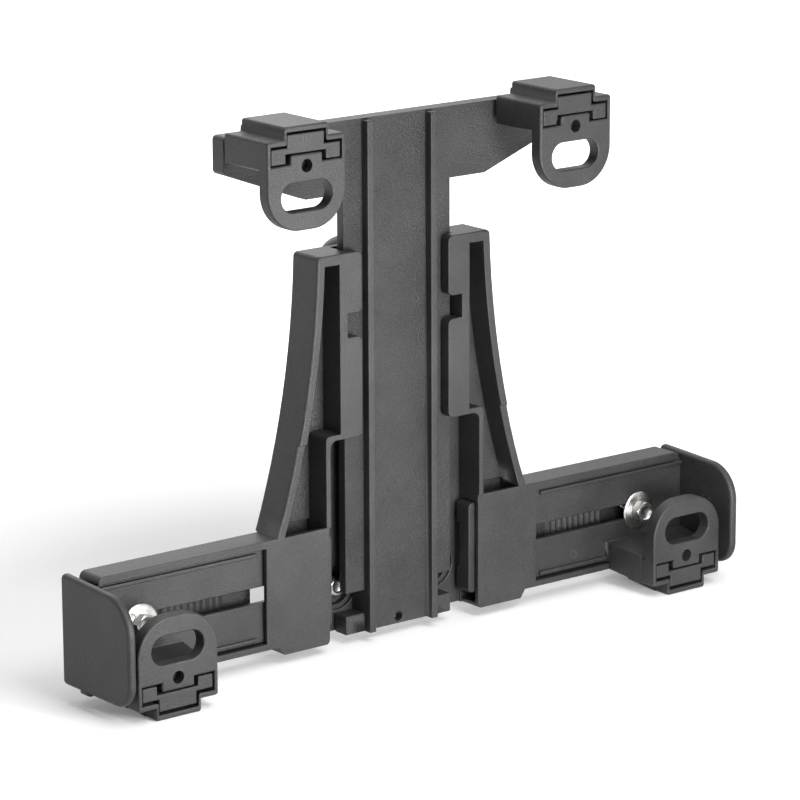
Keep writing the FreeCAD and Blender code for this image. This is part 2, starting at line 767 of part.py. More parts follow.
def pad_bracket(body, label, middle):
    """Tapered bracket that carries the post of the lower hook."""
    front_y = hook_front_y + size.low_sleeve + size.seat_gap
    root_y = plate_y - size.slide_clearance
    high = size.hook_sleeve_height
    block = size.hook_block_rise
    block_half = size.hook_block_half
    root_z = low_hook_z + size.bracket_rise
    root_block = block + size.bracket_rise - size.bracket_block_rise
    front = front_sketch(body, f"{label}_bracket_front", front_y)
    outline(front, stepped(middle, low_hook_z, -1, size.hook_half, -high, block_half, block))
    root = front_sketch(body, f"{label}_bracket_root", root_y)
    outline(root, stepped(middle, root_z, -1, size.bracket_half, -high, block_half, root_block))
    bracket = body.newObject("PartDesign::AdditiveLoft", f"{label}_bracket")
    bracket.Profile = front
    bracket.Sections = [root]
    bracket.Ruled = True
    neck = rectangle(middle - size.bracket_half, middle + size.bracket_half, arm_low, root_z + high)
    pad_back(body, f"{label}_bracket_neck", root_y, arm_face_y - root_y, neck)
    post = post_section(middle, low_hook_z, -1, size.low_post_gap)
    pad_back(body, f"{label}_post", hook_front_y, front_y - hook_front_y, post)


def pad_end_plate(body, label, turn):
    """End plate that stands forward beside the tablet, with its small foot."""
    sketch = side_sketch(body, f"{label}_end_outline", size.end_plate_inner * turn)
    back = face_y + size.end_plate_back_y
    front = face_y + size.end_plate_front_y
    low = foot_z + size.end_plate_foot
    top = foot_z + size.end_plate_top
    foot_front = face_y + size.end_foot_y - size.end_foot_width / 2
    foot_back = foot_front + size.end_foot_width
    outline(sketch, [
        (front, low),
        (foot_front, low),
        (foot_front, low - size.end_foot_drop),
        (foot_back, low - size.end_foot_drop),
        (foot_back, low),
        (back, low),
        (back, top),
        (front, top - size.end_plate_slope),
    ])
    feature(body, "Pad", f"{label}_end", sketch, size.end_plate_wall, reverse=turn < 0)
    high_corner = [(front, top - size.end_plate_slope)]
    round_edges(body, f"{label}_high_corner", size.end_plate_top_radius, "X", high_corner)
    round_edges(body, f"{label}_low_corner", size.end_plate_low_radius, "X", [(front, low)])
    back_corners = [(back, low), (back, top)]
    round_edges(body, f"{label}_back_corners", size.end_plate_back_radius, "X", back_corners)


def build_hook(label, across, up, sleeve, upside_down):
    """Hook moulding: stepped sleeve round the post and a slotted, round-ended lip."""
    body = new_body(label)
    half = size.hook_half
    block = size.hook_block_half
    low = -size.hook_sleeve_height
    nought = Size.of(0)
    shell = stepped(nought, nought, 1, half, low, block, size.hook_block_rise)
    pad_back(body, f"{label}_sleeve", nought, sleeve, shell)
    lip = rectangle(-half, half, -size.hook_drop, low)
    pad_back(body, f"{label}_lip", nought, size.hook_plate, lip)
    cut_back(body, f"{label}_cavity", nought, sleeve, hat(nought, nought, 1))
    sketch = front_sketch(body, f"{label}_slot_outline", nought)
    radius = size.hook_slot_height / 2
    reach = size.hook_slot_length / 2 - radius
    rounded_slot(sketch, -reach, reach, -size.hook_slot_drop, radius)
    feature(body, "Pocket", f"{label}_slot", sketch, size.hook_plate)
    hole_middle = (nought, -size.hook_hole_drop)
    drill_back(body, f"{label}_hole", nought, size.hook_hole_depth, size.hook_hole_radius, hole_middle)
    lip_corners = [(half * turn, -size.hook_drop) for turn in (-1, 1)]
    round_edges(body, f"{label}_lip_corners", size.hook_corner_radius, "Y", lip_corners)
    sleeve_corners = [(half * turn, nought) for turn in (-1, 1)]
    sleeve_corners += [(block * turn, size.hook_block_rise) for turn in (-1, 1)]
    round_edges(body, f"{label}_sleeve_corners", size.edge_softening, "Y", sleeve_corners)
    turned = FreeCAD.Rotation(FreeCAD.Vector(0, 1, 0), 180 if upside_down else 0)
    body.Placement = FreeCAD.Placement(FreeCAD.Vector(0, 0, 0), turned)
    bind(body, "Placement.Base.x", across)
    bind(body, "Placement.Base.y", hook_front_y)
    bind(body, "Placement.Base.z", up)
    return body


def round_piece(kind, name, radius, height, across, depth, up):
    """Cylinder, or hexagonal prism with a corner up, that lies along Y from a depth."""
    piece = document.addObject(f"Part::{kind}", name)
    if kind == "Cylinder":
        bind(piece, "Radius", radius)
    if kind == "Prism":
        piece.Polygon = 6
        bind(piece, "Circumradius", radius)
    bind(piece, "Height", height)
    quarter = FreeCAD.Rotation(FreeCAD.Vector(0, 0, 1), 90)
    lying = FreeCAD.Rotation(FreeCAD.Vector(1, 0, 0), -90) * quarter
    piece.Placement = FreeCAD.Placement(FreeCAD.Vector(0, 0, 0), lying)
    bind(piece, "Placement.Base.x", across)
    bind(piece, "Placement.Base.y", depth)
    bind(piece, "Placement.Base.z", up)
    return piece


def joined(label, pieces):
    """One solid made of several primitives."""
    fuse = document.addObject("Part::MultiFuse", label)
    fuse.Shapes = pieces
    fuse.Refine = True
    fuse.Label = label
    return fuse


def bored(label, outside, inside):
    """A primitive with another cut out of it."""
    cut = document.addObject("Part::Cut", label)
    cut.Base = outside
    cut.Tool = inside
    cut.Label = label
    return cut


def hexagon_radius(flats):
    """Radius of the corners of a hexagon with the given distance across its flats."""
    return flats / math.sqrt(3)


def build_clamp(side, turn):
    """Clamp bolt through the arm's slot and the crossbar's back wall, with washer and nut."""
    name = f"{side}_clamp"
    across = size.clamp_x * turn
    wall = size.washer_wall
    washer_y = arm_face_y - size.seat_gap - wall
    high = size.clamp_head_height
    head_y = washer_y - high
    length = crossbar_rear_y + size.nut_height + size.thread_stick_out - head_y
    shank = size.clamp_shank_radius
    bore = shank + size.seat_gap
    corner = hexagon_radius(size.clamp_head_flats)
    head = round_piece("Prism", f"{name}_head", corner, high, across, head_y, clamp_z)
    stem = round_piece("Cylinder", f"{name}_stem", shank, length, across, head_y, clamp_z)
    parts.append(joined(f"{name}_bolt", [head, stem]))
    disc = round_piece("Cylinder", f"{name}_disc", size.washer_radius, wall, across, washer_y, clamp_z)
    hole = round_piece("Cylinder", f"{name}_hole", bore, wall, across, washer_y, clamp_z)
    parts.append(bored(f"{name}_washer", disc, hole))
    nut_corner = hexagon_radius(size.nut_flats)
    build_nut(name, nut_corner, size.nut_height, bore, across, crossbar_rear_y, clamp_z)


def build_nut(name, corner, height, bore, across, depth, up):
    """Hexagonal nut that starts at a depth."""
    block = round_piece("Prism", f"{name}_block", corner, height, across, depth, up)
    thread = round_piece("Cylinder", f"{name}_thread", bore, height, across, depth, up)
    parts.append(bored(f"{name}_nut", block, thread))


def build_cup_screw(side, turn):
    """Screw in a cup of the centre wall, with its nut behind."""
    name = f"{side}_cup_screw"
    across = size.screw_x * turn
    up = foot_z + size.screw_z
    high = size.screw_head_height
    floor_y = back_face_y + size.screw_cup_depth
    flange_y = floor_y - size.screw_flange_wall
    head_y = flange_y - high
    nut_y = floor_y + size.screw_cup_floor
    length = nut_y + size.screw_nut_height + size.thread_stick_out - head_y
    shank = size.screw_shank_radius
    corner = hexagon_radius(size.screw_head_flats)
    flange_radius = size.screw_flange_radius
    flange_wall = size.screw_flange_wall
    head = round_piece("Prism", f"{name}_head", corner, high, across, head_y, up)
    flange = round_piece("Cylinder", f"{name}_flange", flange_radius, flange_wall, across, flange_y, up)
    stem = round_piece("Cylinder", f"{name}_stem", shank, length, across, head_y, up)
    parts.append(joined(name, [head, flange, stem]))
    build_nut(name, corner, size.screw_nut_height, shank + size.seat_gap, across, nut_y, up)


def build_ball():
    """Ball on a short neck and a round flange, held by a screw through the back wall."""
    up = ball_z
    nought = Size.of(0)
    ball_y = rear_y + size.ball_reach
    wall = size.ball_flange_wall
    flange = round_piece("Cylinder", "ball_flange", size.ball_flange_radius, wall, nought, rear_y, up)
    neck = round_piece("Cylinder", "ball_neck", size.ball_neck_radius, size.ball_reach, nought, rear_y, up)
    ball = document.addObject("Part::Sphere", "ball_head")
    ball.Placement = FreeCAD.Placement(FreeCAD.Vector(0, 0, 0), flange.Placement.Rotation)
    bind(ball, "Radius", size.ball_radius)
    bind(ball, "Placement.Base.y", ball_y)
    bind(ball, "Placement.Base.z", up)
    whole = joined("ball_whole", [flange, neck, ball])
    depth = size.ball_screw_length - size.back_wall + size.seat_gap
    bore_radius = size.ball_screw_radius + size.seat_gap
    bore = round_piece("Cylinder", "ball_bore", bore_radius, depth, nought, rear_y, up)
    parts.append(bored("ball_mount", whole, bore))
    head_radius = size.ball_screw_head_radius
    head_height = size.ball_screw_head_height
    head_y = back_face_y - head_height
    head = round_piece("Cylinder", "ball_screw_head", head_radius, head_height, nought, head_y, up)
    length = size.ball_screw_length + head_height
    stem = round_piece("Cylinder", "ball_screw_stem", size.ball_screw_radius, length, nought, head_y, up)
    parts.append(joined("ball_screw", [head, stem]))


def build_all():
    """Builds every piece of the holder."""
    build_frame()
    build_column()
    for side, turn in (("left", -1), ("right", 1)):
        build_arm(f"{side}_arm", turn)
        build_hook(f"top_{side}_hook", size.top_hook_x * turn, top_hook_z, top_sleeve, False)
        build_hook(f"low_{side}_hook", size.low_hook_x * turn, low_hook_z, size.low_sleeve, True)
        build_clamp(side, turn)
        build_cup_screw(side, turn)
    build_ball()
    document.recompute()


def check_all():
    """Stops the run if an object failed or a piece is not one valid solid."""
    for item in document.Objects:
        if "Invalid" in item.State or "Error" in item.State:
            raise RuntimeError(f"{item.Name} failed: {item.State}")
    for part in parts:
        shape = part.Shape
        if shape.isNull() or not shape.isValid() or len(shape.Solids) != 1:
            raise RuntimeError(f"{part.Label} is not one valid solid")


build_all()
check_all()
os.makedirs("parts", exist_ok=True)
for part in parts:
    part.Shape.exportStep(f"parts/{part.Label}.step")
    print(part.Label, round(part.Shape.Volume, 1))
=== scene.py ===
import math

import bmesh
import bpy
from mathutils import Matrix, Vector


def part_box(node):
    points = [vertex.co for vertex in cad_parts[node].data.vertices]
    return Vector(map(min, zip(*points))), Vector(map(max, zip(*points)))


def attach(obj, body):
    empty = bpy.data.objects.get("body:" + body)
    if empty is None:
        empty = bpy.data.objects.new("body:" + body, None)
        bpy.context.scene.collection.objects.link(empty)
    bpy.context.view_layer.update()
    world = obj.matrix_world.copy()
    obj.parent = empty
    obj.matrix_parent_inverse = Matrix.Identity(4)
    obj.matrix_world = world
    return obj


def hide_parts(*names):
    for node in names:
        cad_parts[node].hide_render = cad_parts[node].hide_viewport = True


bl_info = {
    "name": "Tablet holder looks",
    "version": (1, 1, 0),
    "blender": (4, 5, 0),
    "location": "3D View > Sidebar > Holder",
    "description": "Rounded mouldings, plated fasteners, moulding marks, studio and camera for the tablet holder",
    "category": "Object",
}

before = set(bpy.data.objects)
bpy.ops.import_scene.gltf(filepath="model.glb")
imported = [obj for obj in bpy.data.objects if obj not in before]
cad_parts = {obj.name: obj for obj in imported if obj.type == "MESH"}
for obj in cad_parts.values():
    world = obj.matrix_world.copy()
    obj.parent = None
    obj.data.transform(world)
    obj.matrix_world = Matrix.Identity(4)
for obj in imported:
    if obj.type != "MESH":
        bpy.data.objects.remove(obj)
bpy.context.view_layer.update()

MOULDINGS = ("frame", "column", "left_arm", "right_arm")
HOOKS = ("top_left_hook", "top_right_hook", "low_left_hook", "low_right_hook")
SIDES = ("left", "right")
MM = 0.001


# Property groups

class MouldingSettings(bpy.types.PropertyGroup):
    """Finish of the black mouldings."""

    edge_round: bpy.props.FloatProperty(
        name="Edge rounding", description="Radius of the ordinary moulded edges",
        default=0.35 * MM, min=0.05 * MM, max=MM, unit="LENGTH")
    rim_round: bpy.props.FloatProperty(
        name="Rim rounding", description="Radius of the front edges of the towers' flanks",
        default=0.9 * MM, min=0.1 * MM, max=1.2 * MM, unit="LENGTH")
    plate_round: bpy.props.FloatProperty(
        name="End plate rounding", description="Radius of the end plates' outlines",
        default=1.15 * MM, min=0.1 * MM, max=1.4 * MM, unit="LENGTH")
    hook_round: bpy.props.FloatProperty(
        name="Hook rounding", description="Radius of the hooks' front outlines",
        default=0.65 * MM, min=0.1 * MM, max=0.7 * MM, unit="LENGTH")
    slot_round: bpy.props.FloatProperty(
        name="Slot rounding", description="Radius of the mouths of the hooks' slots",
        default=0.5 * MM, min=0.1 * MM, max=1.2 * MM, unit="LENGTH")
    sleeve_round: bpy.props.FloatProperty(
        name="Sleeve rounding", description="Radius of the long outer edges of the hooks' sleeves",
        default=0.8 * MM, min=0.1 * MM, max=0.9 * MM, unit="LENGTH")
    hole_round: bpy.props.FloatProperty(
        name="Hole rounding", description="Radius of the mouths of the hooks' round holes",
        default=0.15 * MM, min=0.05 * MM, max=0.4 * MM, unit="LENGTH")
    hollow_round: bpy.props.FloatProperty(
        name="Hollow rounding", description="Radius of the other edges of the hooks",
        default=0.3 * MM, min=0.05 * MM, max=0.4 * MM, unit="LENGTH")
    tooth_round: bpy.props.FloatProperty(
        name="Tooth rounding", description="Radius of the edges of the racks' teeth",
        default=0.12 * MM, min=0.02 * MM, max=0.3 * MM, unit="LENGTH")
    thin_round: bpy.props.FloatProperty(
        name="Thin wall rounding", description="Radius of the edges of the thinnest bars and lips",
        default=0.1 * MM, min=0.05 * MM, max=0.2 * MM, unit="LENGTH")
    colour: bpy.props.FloatVectorProperty(
        name="Colour", description="Colour of the moulding compound",
        default=(0.021, 0.021, 0.0212), size=3, subtype="COLOR", min=0, max=1)
    roughness: bpy.props.FloatProperty(
        name="Roughness", description="Roughness of the moulded skin",
        default=0.42, min=0, max=1, subtype="FACTOR")
    grain_size: bpy.props.FloatProperty(
        name="Grain size", description="Width of one grain of the eroded mould surface",
        default=0.5 * MM, min=0.1 * MM, max=5 * MM, unit="LENGTH")
    leather_size: bpy.props.FloatProperty(
        name="Strip grain size", description="Width of one grain of the textured strip",
        default=0.6 * MM, min=0.1 * MM, max=5 * MM, unit="LENGTH")


class SteelSettings(bpy.types.PropertyGroup):
    """Finish and small forms of the plated fasteners."""

    colour: bpy.props.FloatVectorProperty(
        name="Colour", description="Colour of the zinc plate",
        default=(0.52, 0.51, 0.49), size=3, subtype="COLOR", min=0, max=1)
    roughness: bpy.props.FloatProperty(
        name="Roughness", description="Roughness of the zinc plate",
        default=0.24, min=0, max=1, subtype="FACTOR")
    thread_pitch: bpy.props.FloatProperty(
        name="Thread pitch", description="Distance from one thread to the next",
        default=0.7 * MM, min=0.3 * MM, max=2 * MM, unit="LENGTH")
    head_turn: bpy.props.FloatProperty(
        name="Head turn", description="How far the corner of a head stands to the left of upright",
        default=math.radians(14), subtype="ANGLE")


class MarkSettings(bpy.types.PropertyGroup):
    """Round marks that the mould's ejector pins leave."""

    radius: bpy.props.FloatProperty(
        name="Mark radius", description="Radius of an ejector mark",
        default=1.5 * MM, min=0.5 * MM, max=3 * MM, unit="LENGTH")
    proud: bpy.props.FloatProperty(
        name="Mark height", description="How far an ejector mark stands out",
        default=0.06 * MM, min=0.01 * MM, max=0.3 * MM, unit="LENGTH")


class StudioSettings(bpy.types.PropertyGroup):
    """Camera, floor and lamps."""

    azimuth: bpy.props.FloatProperty(
        name="Azimuth", description="Direction the camera looks from, round the holder",
        default=math.radians(-38.256), subtype="ANGLE")
    elevation: bpy.props.FloatProperty(
        name="Elevation", description="Height of the camera above the horizon",
        default=math.radians(14.117), subtype="ANGLE")
    roll: bpy.props.FloatProperty(
        name="Roll", description="Turn of the camera about its own line of sight",
        default=math.radians(-0.219), subtype="ANGLE")
    distance: bpy.props.FloatProperty(
        name="Distance", description="Distance from the camera to the point it aims at",
        default=1.1505, unit="LENGTH")
    aim: bpy.props.FloatVectorProperty(
        name="Aim", description="Point the camera aims at",
        default=(-0.06722, -0.09101, 0.10658), size=3, subtype="XYZ", unit="LENGTH")
    lens: bpy.props.FloatProperty(
        name="Lens", description="Focal length on a 36 mm sensor",
        default=175.404, unit="CAMERA")
    floor_colour: bpy.props.FloatVectorProperty(
        name="Floor colour", description="Colour of the floor",
        default=(0.9, 0.9, 0.9), size=3, subtype="COLOR", min=0, max=1)
    floor_lift: bpy.props.FloatProperty(
        name="Floor lift", description="How much paler the floor near the holder shows to the camera than it is lit",
        default=0.15, min=0, max=1)
    surroundings: bpy.props.FloatProperty(
        name="Surroundings", description="Strength of the even light that falls on the holder",
        default=0.1, min=0, max=2)


# Materials

def new_material(name):
    """A material with its node tree and the shader to fill."""
    material = bpy.data.materials.new(name)
    material.use_nodes = True
    shader = material.node_tree.nodes["Principled BSDF"]
    return material, material.node_tree, shader


def noise(tree, place, size, detail, roughness=0.5):
    """Noise of a given grain size in the object's own coordinates."""
    texture = tree.nodes.new("ShaderNodeTexNoise")
    texture.inputs["Scale"].default_value = 1 / size
    texture.inputs["Detail"].default_value = detail
    texture.inputs["Roughness"].default_value = roughness
    tree.links.new(place.outputs["Object"], texture.inputs["Vector"])
    return texture


def spread(tree, value, low, high, start=0.3, end=0.7):
    """Maps a noise's middle range to a range of its own."""
    node = tree.nodes.new("ShaderNodeMapRange")
    node.inputs["From Min"].default_value = start
    node.inputs["From Max"].default_value = end
    node.inputs["To Min"].default_value = low
    node.inputs["To Max"].default_value = high
    tree.links.new(value, node.inputs["Value"])
    return node.outputs["Result"]


def tinted(tree, value, colour, dark, pale):
    """Colour that varies between a darker and a paler shade."""
    mix = tree.nodes.new("ShaderNodeMix")
    mix.data_type = "RGBA"
    shade = Vector(colour)
    mix.inputs["A"].default_value = (*(shade * dark), 1)
    mix.inputs["B"].default_value = (*(shade * pale), 1)
    tree.links.new(value, mix.inputs["Factor"])
    return mix.outputs["Result"]


def bumped(tree, shader, height, strength, distance):
    """Bump of a given depth on a shader."""
    bump = tree.nodes.new("ShaderNodeBump")
    bump.inputs["Strength"].default_value = strength
    bump.inputs["Distance"].default_value = distance
    tree.links.new(height, bump.inputs["Height"])
    tree.links.new(bump.outputs["Normal"], shader.inputs["Normal"])


def moulding_material(settings, name, grain_size, depth, contrast):
    """Black moulding compound with an eroded skin, slightly cloudy and rubbed."""
    material, tree, shader = new_material(name)
    shader.inputs["Specular IOR Level"].default_value = 0.36
    place = tree.nodes.new("ShaderNodeTexCoord")
    grain = noise(tree, place, grain_size, 3, 0.6)
    cloud = noise(tree, place, 16 * MM, 4)
    mixed = tree.nodes.new("ShaderNodeMath")
    mixed.operation = "ADD"
    tree.links.new(spread(tree, cloud.outputs["Fac"], 0.0, 0.4), mixed.inputs[0])
    tree.links.new(spread(tree, grain.outputs["Fac"], 0.0, 0.6), mixed.inputs[1])
    colour = tinted(tree, mixed.outputs["Value"], settings.colour, 1 - contrast, 1 + contrast)
    tree.links.new(colour, shader.inputs["Base Color"])
    rough = spread(tree, grain.outputs["Fac"], settings.roughness - 0.05, settings.roughness + 0.06)
    tree.links.new(rough, shader.inputs["Roughness"])
    bumped(tree, shader, grain.outputs["Fac"], 0.6, depth)
    return material


def steel_material(settings):
    """Bright zinc plate with a fine, slightly cloudy variation."""
    material, tree, shader = new_material("plated_steel")
    shader.inputs["Metallic"].default_value = 1
    place = tree.nodes.new("ShaderNodeTexCoord")
    cloud = noise(tree, place, 0.8 * MM, 3)
    colour = tinted(tree, cloud.outputs["Fac"], settings.colour, 0.93, 1.04)
    tree.links.new(colour, shader.inputs["Base Color"])
    rough = spread(tree, cloud.outputs["Fac"], settings.roughness - 0.03, settings.roughness + 0.04)
    tree.links.new(rough, shader.inputs["Roughness"])
    return material


# Shared mesh steps

def piece_from(name, bm, material, body):
    """Makes a piece from a bmesh and lets it ride on its body."""
    mesh = bpy.data.meshes.new(name)
    bm.to_mesh(mesh)
    bm.free()
    piece = bpy.data.objects.new(name, mesh)
    bpy.context.scene.collection.objects.link(piece)
    mesh.materials.append(material)
    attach(piece, body)
    return piece


def merged_copy(node):
    """Copy of a CAD node's mesh with its doubles merged and its flat faces whole."""
    bm = bmesh.new()
    bm.from_mesh(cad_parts[node].data)
    bmesh.ops.remove_doubles(bm, verts=bm.verts, dist=1e-6)
    bmesh.ops.dissolve_limit(
        bm, angle_limit=math.radians(0.5), use_dissolve_boundaries=False,
        verts=bm.verts, edges=bm.edges, delimit=set())
    bm.normal_update()
    return bm


def weigh_edges(bm, widest, radius_of, least_angle=28):
    """Gives each outer edge the share of the widest rounding that it takes."""
    weights = bm.edges.layers.float.new("bevel_weight_edge")
    least = math.radians(least_angle)
    for face in bm.faces:
        face.smooth = True
    for edge in bm.edges:
        if not edge.is_manifold or edge.calc_face_angle() < least:
            continue
        radius = radius_of(edge)
        if radius:
            edge[weights] = radius / widest
        else:
            edge.smooth = False


def round_edges(piece, widest, segments):
    """Rounds the weighed edges and keeps the flat faces flat beside them."""
    bevel = piece.modifiers.new("Rounding", "BEVEL")
    bevel.limit_method = "WEIGHT"
    bevel.width = widest
    bevel.segments = segments
    bevel.profile = 0.5
    bevel.use_clamp_overlap = False
    bevel.loop_slide = False
    bevel.material = -1
    even = piece.modifiers.new("Even faces", "WEIGHTED_NORMAL")
    even.keep_sharp = True
    even.weight = 100


def middle_of(edge):
    """Middle of an edge."""
    return (edge.verts[0].co + edge.verts[1].co) / 2


def turned_about(bm, rings, segments=48):
    """Shape turned about the Y axis from a closed chain of radius and depth pairs."""
    verts = [bm.verts.new((radius, depth, 0)) for radius, depth in rings]
    chain = [bm.edges.new(pair) for pair in zip(verts, verts[1:] + verts[:1])]
    made = bmesh.ops.spin(
        bm, geom=verts + chain, cent=(0, 0, 0), axis=(0, 1, 0), dvec=(0, 0, 0),
        angle=math.tau, steps=segments, use_merge=True, use_duplicate=False)
    return made


def close_up(bm):
    """Merges what meets and turns the faces outwards."""
    bmesh.ops.remove_doubles(bm, verts=bm.verts, dist=1e-6)
    bmesh.ops.dissolve_degenerate(bm, dist=1e-7, edges=bm.edges)
    bmesh.ops.recalc_face_normals(bm, faces=bm.faces)


def hex_block(bm, flats, height, turn, bore=0.0, dish=0.0):
    """Hexagonal head or nut that rises towards -Y from nought, chamfered like a turned blank."""
    start = len(bm.faces)
    made = bmesh.ops.create_circle(
        bm, cap_ends=True, cap_tris=False, segments=6, radius=flats / math.sqrt(3),
        matrix=Matrix.Rotation(turn, 4, "Z"))
    edges = {edge for vert in made["verts"] for edge in vert.link_edges}
    bmesh.ops.subdivide_edges(bm, edges=list(edges), cuts=7, use_grid_fill=False)
    bm.faces.ensure_lookup_table()
    low = bm.faces[start]
    lifted = bmesh.ops.extrude_face_region(bm, geom=[low], use_keep_orig=True)["geom"]
    top = next(item for item in lifted if isinstance(item, bmesh.types.BMFace))
    bmesh.ops.translate(bm, verts=top.verts, vec=(0, 0, height))
    round_radius = flats * 0.475
    slope = math.tan(math.radians(30))
    caps = [(top, height, 1)]
    if bore:
        caps.append((low, 0, -1))
    for face, level, way in caps:
        for vert in face.verts:
            past = max(0, Vector(vert.co.xy).length - round_radius)
            vert.co.z = level - way * past * slope
        bmesh.ops.inset_region(bm, faces=[face], thickness=flats * 0.02, depth=0, use_even_offset=True)
        set_ring(face, round_radius, level)
    if bore:
        for face, level, way in caps:
            bmesh.ops.inset_region(bm, faces=[face], thickness=flats * 0.02, depth=0, use_even_offset=True)
            set_ring(face, bore * 1.12, level)
            bmesh.ops.inset_region(bm, faces=[face], thickness=flats * 0.02, depth=0, use_even_offset=True)
            set_ring(face, bore, level - way * bore * 0.12)
        mouths = [edge for face, level, way in caps for edge in face.edges]
        bmesh.ops.delete(bm, geom=[face for face, level, way in caps], context="FACES_ONLY")
        bmesh.ops.bridge_loops(bm, edges=mouths)
    elif dish:
        for share, drop in ((0.36, 0.0), (0.30, 0.75), (0.2, 1.0)):
            bmesh.ops.inset_region(bm, faces=[top], thickness=flats * 0.02, depth=0, use_even_offset=True)
            set_ring(top, flats * share, height - dish * drop)


def set_ring(face, radius, level):
    """Sets a face's corners on a circle at one level."""
    for vert in face.verts:
        flat = Vector(vert.co.xy).normalized() * radius
        vert.co = (flat.x, flat.y, level)


def stand_forward(bm):
    """Turns a shape that rises along Z so that it rises towards -Y."""
    bmesh.ops.rotate(bm, verts=bm.verts, cent=(0, 0, 0), matrix=Matrix.Rotation(math.pi / 2, 3, "X"))


def thread_rings(radius, start, end, pitch):
    """Chain of radius and depth pairs down a threaded shank, ending in a chamfered tip."""
    rings = []
    depth = start
    while depth + pitch < end - pitch:
        rings += [(radius, depth), (radius, depth + pitch * 0.15)]
        rings += [(radius - pitch * 0.5, depth + pitch * 0.5), (radius - pitch * 0.5, depth + pitch * 0.65)]
        depth += pitch
    rings += [(radius, depth), (radius, end - pitch * 0.6), (radius - pitch * 0.6, end), (0, end)]
    return rings


# Operators

class HOLDER_OT_mouldings(bpy.types.Operator):
    """Rounds the edges of the black mouldings and gives them their eroded skin"""

    bl_idname = "holder.mouldings"
    bl_label = "Mouldings"

    def execute(self, context):
        settings = context.scene.holder_moulding
        self.settings = settings
        skin = moulding_material(settings, "black_moulding", settings.grain_size, 0.3 * MM, 0.7)
        leather = moulding_material(settings, "strip_grain", settings.leather_size, 1.1 * MM, 0.8)
        radii = {"frame": self.frame_radius, "column": self.column_radius}
        widest = 2 * MM
        for node in MOULDINGS + HOOKS:
            bm = merged_copy(node)
            self.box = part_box(node)
            radius_of = radii.get(node, self.arm_radius if node.endswith("arm") else self.hook_radius)
            weigh_edges(bm, widest, radius_of)
            piece = piece_from(f"{node}_moulding", bm, skin, node)
            if node == "column":
                piece.data.materials.append(leather)
                self.mark_strip(piece)
            round_edges(piece, widest, 3)
            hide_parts(node)
        return {"FINISHED"}

    def mark_strip(self, piece):
        """Gives the strip between the ribs its coarser grain."""
        strip_half = 11.4 * MM
        for face in piece.data.polygons:
            if abs(face.center.x) < strip_half and face.normal.y < -0.9:
                face.material_index = 1

    def plain_radius(self, edge):
        """Rounding of an ordinary edge, nought for one that turns inwards."""
        return self.settings.edge_round if edge.is_convex else 0

    def frame_radius(self, edge):
        """Wide rounding along the front of the towers' flanks, little on the racks' teeth."""
        place = middle_of(edge)
        across = abs(place.x)
        front = any(face.normal.y < -0.9 for face in edge.link_faces)
        outward = any(face.normal.x * place.x > 0 and abs(face.normal.x) > 0.05 for face in edge.link_faces)
        if edge.is_convex and front and outward and across > 33.6 * MM and place.z > 46 * MM:
            return self.settings.rim_round
        if abs(across - 30.6 * MM) < 0.3 * MM and place.y > 1.6 * MM and place.z < 43 * MM:
            return 0
        rack = 66 * MM < across < 94 * MM and abs(place.z - 24.4 * MM) < 7.5 * MM
        if edge.is_convex and rack and place.y > -0.8 * MM:
            return self.settings.tooth_round
        low_bar = 30 * MM < across < 53 * MM and place.z < 7.5 * MM and place.y > 2.2 * MM
        lower_lip = across > 50 * MM and 3 * MM < place.z < 8.5 * MM and place.y < -7.5 * MM
        if edge.is_convex and (low_bar or lower_lip):
            return self.settings.thin_round
        return self.plain_radius(edge)

    def column_radius(self, edge):
        """Rounding of the column's edges, little along the foot of the textured strip's ribs."""
        place = middle_of(edge)
        if edge.is_convex and 13.5 * MM < abs(place.x) < 15 * MM and place.y > 0.5 * MM:
            return self.settings.thin_round
        return self.plain_radius(edge)

    def arm_radius(self, edge):
        """Wide rounding round the end plates' outlines."""
        plate = abs(middle_of(edge).x) > 122.7 * MM
        sideways = any(abs(face.normal.x) > 0.9 for face in edge.link_faces)
        if edge.is_convex and plate and sideways:
            return self.settings.plate_round
        return self.plain_radius(edge)

    def hook_radius(self, edge):
        """Wide rounding of a hook's front outline and slot, little in its hollow."""
        if not edge.is_convex:
            return 0
        front = [face for face in edge.link_faces if face.normal.y < -0.9]
        side = [face for face in edge.link_faces if face not in front]
        low, high = (Vector(corner) for corner in self.box)
        centre = (low + high) / 2
        place = middle_of(edge)
        across, up = place.x - centre.x, place.z - centre.z
        way = 1 if centre.z > 80 * MM else -1
        if not front or not side:
            along = (edge.verts[0].co - edge.verts[1].co).normalized()
            outside = abs(across) > 13.5 * MM or up * way > 7 * MM
            if abs(along.y) > 0.95 and outside:
                return self.settings.sleeve_round
            return self.settings.hollow_round
        if math.hypot(across, up - way * 3.7 * MM) < 2.6 * MM:
            return self.settings.hole_round
        if abs(across) < 10.5 * MM and abs(up + way * 5.8 * MM) < 5 * MM:
            return self.settings.slot_round
        if side[0].normal.x * across + side[0].normal.z * up > 0:
            return self.settings.hook_round
        return self.settings.hollow_round


